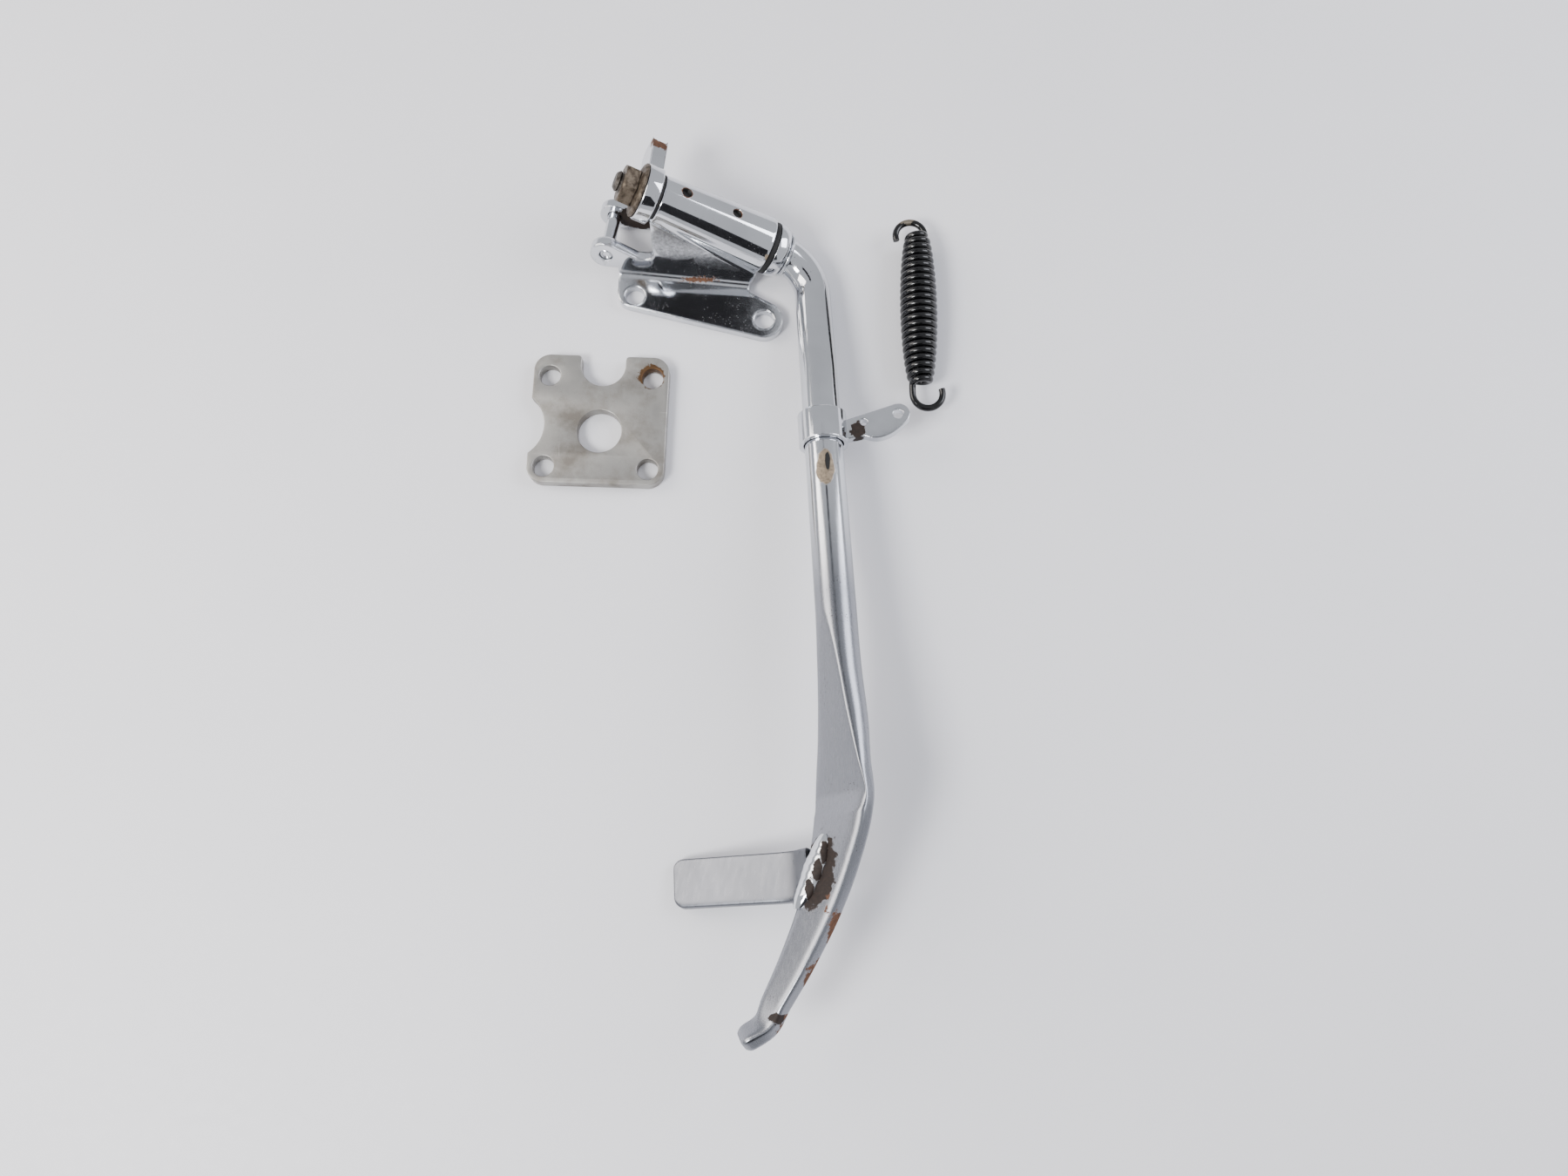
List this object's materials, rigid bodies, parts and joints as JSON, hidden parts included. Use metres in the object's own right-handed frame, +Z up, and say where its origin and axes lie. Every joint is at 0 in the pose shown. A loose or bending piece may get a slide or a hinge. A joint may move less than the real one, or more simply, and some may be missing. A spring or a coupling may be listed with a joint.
{
  "type": "motorcycle kickstand",
  "caption": "Chromed motorcycle kickstand: bolt-on bracket with inclined pivot barrel, swinging bent leg with step arm, loose return spring and spacer plate.",
  "frame": {"origin": "the point midway between the two bolt holes on the flange's underside, level with the surface everything lies on", "axes": "+Z up out of the surface; +X to the right; +Y away from the leg's foot, so that the leg lies along -Y and its foot points to -Y"},
  "size_m": [0.202, 0.4171, 0.0571],
  "materials": {
    "bracket_chrome": "polished chrome plate with fine pits, brown rust in the bend",
    "rear_ear_chrome": "chrome plate with a bare brown front face",
    "pin_chrome": "polished chrome plate",
    "barrel_chrome": "polished chrome plate",
    "bush_bronze": "oily bronze",
    "leg_chrome": "chrome plate, bright at the pivot and dull on the blade, worn brown at the toe",
    "shoulder_chrome": "polished chrome plate",
    "weld_chrome": "chromed weld bead",
    "black_rubber": "greasy black",
    "stop_chrome": "polished chrome plate, rusty at the tab's tip",
    "dirty_zinc": "grimy zinc plate",
    "dark_thread": "oily dark steel",
    "collar_chrome": "polished chrome plate, peeled brown at the ear's root",
    "step_chrome": "dull satin chrome plate",
    "step_weld_chrome": "chromed bead with bare brown borders",
    "gloss_black": "gloss black paint, worn at the near hook",
    "raw_steel": "bare steel, scratched and stained"
  },
  "bodies": {
    "bracket": {"bracket_plate": "bracket_chrome", "rear_ear_plate": "rear_ear_chrome", "spring_anchor_pin": "pin_chrome", "pivot_barrel": "barrel_chrome", "inner_bush": "bush_bronze", "outer_bush": "bush_bronze"},
    "leg": {"leg_bar": "leg_chrome", "leg_shoulder": "shoulder_chrome", "shoulder_weld": "weld_chrome", "thrust_washer": "black_rubber", "dust_seal": "black_rubber", "leg_stop": "stop_chrome", "dished_washer": "dirty_zinc", "pivot_nut": "dirty_zinc", "threaded_stud": "dark_thread", "spring_tab_collar": "collar_chrome", "step_arm": "step_chrome", "step_weld": "step_weld_chrome"},
    "spring": {"return_spring": "gloss_black"},
    "spacer": {"mounting_plate": "raw_steel"}
  },
  "joints": [
    {"name": "leg_swing", "type": "hinge", "parent": "bracket", "child": "leg", "pos_m": [0.00741, 0.0327, 0.02929], "axis": [-0.8858, 0.208, 0.4149], "range_deg": [0, 85]},
    {"name": "spring_lift", "type": "slide", "parent": "bracket", "child": "spring", "axis": [0, 0, 1], "range_m": [0, 0.03]},
    {"name": "spacer_lift", "type": "slide", "parent": "bracket", "child": "spacer", "axis": [0, 0, 1], "range_m": [0, 0.05]}
  ]
}
